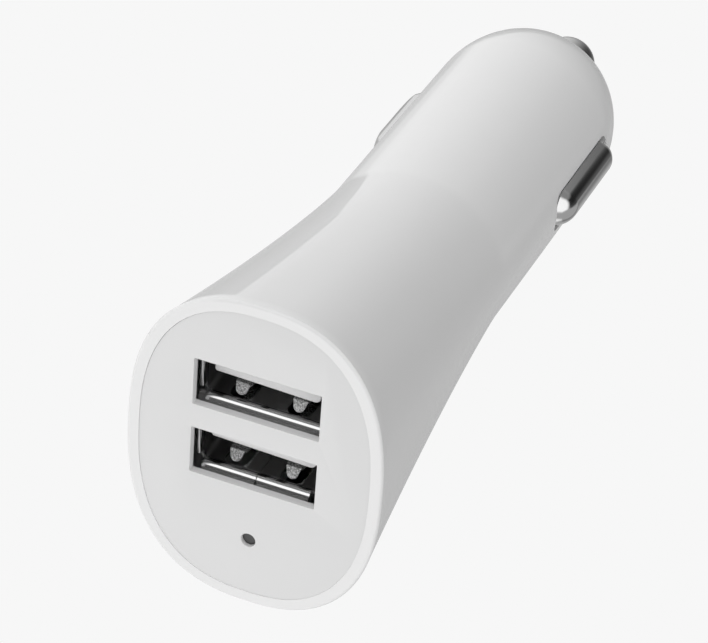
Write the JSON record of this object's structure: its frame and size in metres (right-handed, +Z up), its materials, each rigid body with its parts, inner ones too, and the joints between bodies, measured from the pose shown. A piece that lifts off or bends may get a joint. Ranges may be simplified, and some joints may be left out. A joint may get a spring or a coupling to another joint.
{
  "type": "car usb charger plug",
  "caption": "Socket plug with an oval face, stacked charging ports, sprung side contacts and a sprung tip, flaring from a round barrel.",
  "frame": {"origin": "on the barrel's axis, where the round barrel starts behind the flare", "axes": "+Y along the barrel's axis towards the tip, +Z up across the face with the ports above the light, +X to the right as the face is seen"},
  "size_m": [0.0264, 0.0875, 0.0344],
  "materials": {
    "housing_gloss": "glossy white moulding",
    "plate_satin": "satin light grey moulding",
    "shell_plated": "bright nickel plated sheet",
    "tongue_moulding": "satin white moulding",
    "terminal_plated": "bright nickel plated",
    "pipe_smoked": "smoked clear moulding",
    "led_package": "moulded lamp package",
    "circuit_board": "green solder mask",
    "ferrite": "sintered ferrite",
    "enamelled_wire": "enamelled copper wire",
    "capacitor_can": "sleeved aluminium can",
    "chip_package": "black moulded package",
    "chip_ceramic": "fired ceramic",
    "fuse_body": "ceramic block",
    "post_brass": "turned brass",
    "contact_plated": "bright nickel plated spring sheet",
    "spring_wire": "drawn steel wire",
    "tip_dark_plated": "dark nickel plated, turned"
  },
  "bodies": {
    "body": {"housing": "housing_gloss", "face_plate": "plate_satin", "usb_shell_upper": "shell_plated", "usb_shell_lower": "shell_plated", "usb_tongue_upper": "tongue_moulding", "usb_tongue_lower": "tongue_moulding", "usb_terminals_upper": "terminal_plated", "usb_terminals_lower": "terminal_plated", "light_pipe": "pipe_smoked", "status_led": "led_package", "port_board": "circuit_board", "power_board": "circuit_board", "choke_core": "ferrite", "choke_winding": "enamelled_wire", "input_capacitor": "capacitor_can", "output_capacitor": "capacitor_can", "converter_chip": "chip_package", "rectifier": "chip_package", "chip_parts": "chip_ceramic", "fuse": "fuse_body", "hinge_post_left": "post_brass", "hinge_post_right": "post_brass", "spring_seat": "post_brass", "tip_spring": "spring_wire"},
    "left_contact": {"side_contact_left": "contact_plated"},
    "right_contact": {"side_contact_right": "contact_plated"},
    "tip": {"tip_contact": "tip_dark_plated"}
  },
  "joints": [
    {"name": "side_contact_left_swing", "type": "hinge", "parent": "body", "child": "left_contact", "pos_m": [-0.0072, 0.0018, 0], "axis": [0, 0, 1], "range_deg": [-5, 0], "stiffness_Nm_per_rad": 0.6, "springref_deg": 2.86},
    {"name": "side_contact_right_swing", "type": "hinge", "parent": "body", "child": "right_contact", "pos_m": [0.0072, 0.0018, 0], "axis": [0, 0, 1], "range_deg": [0, 5], "stiffness_Nm_per_rad": 0.6, "springref_deg": -2.86},
    {"name": "tip_press", "type": "slide", "parent": "body", "child": "tip", "axis": [0, -1, 0], "range_m": [0, 0.004], "stiffness_N_per_m": 900, "springref_m": -0.003, "deforming": ["tip_spring"]}
  ]
}
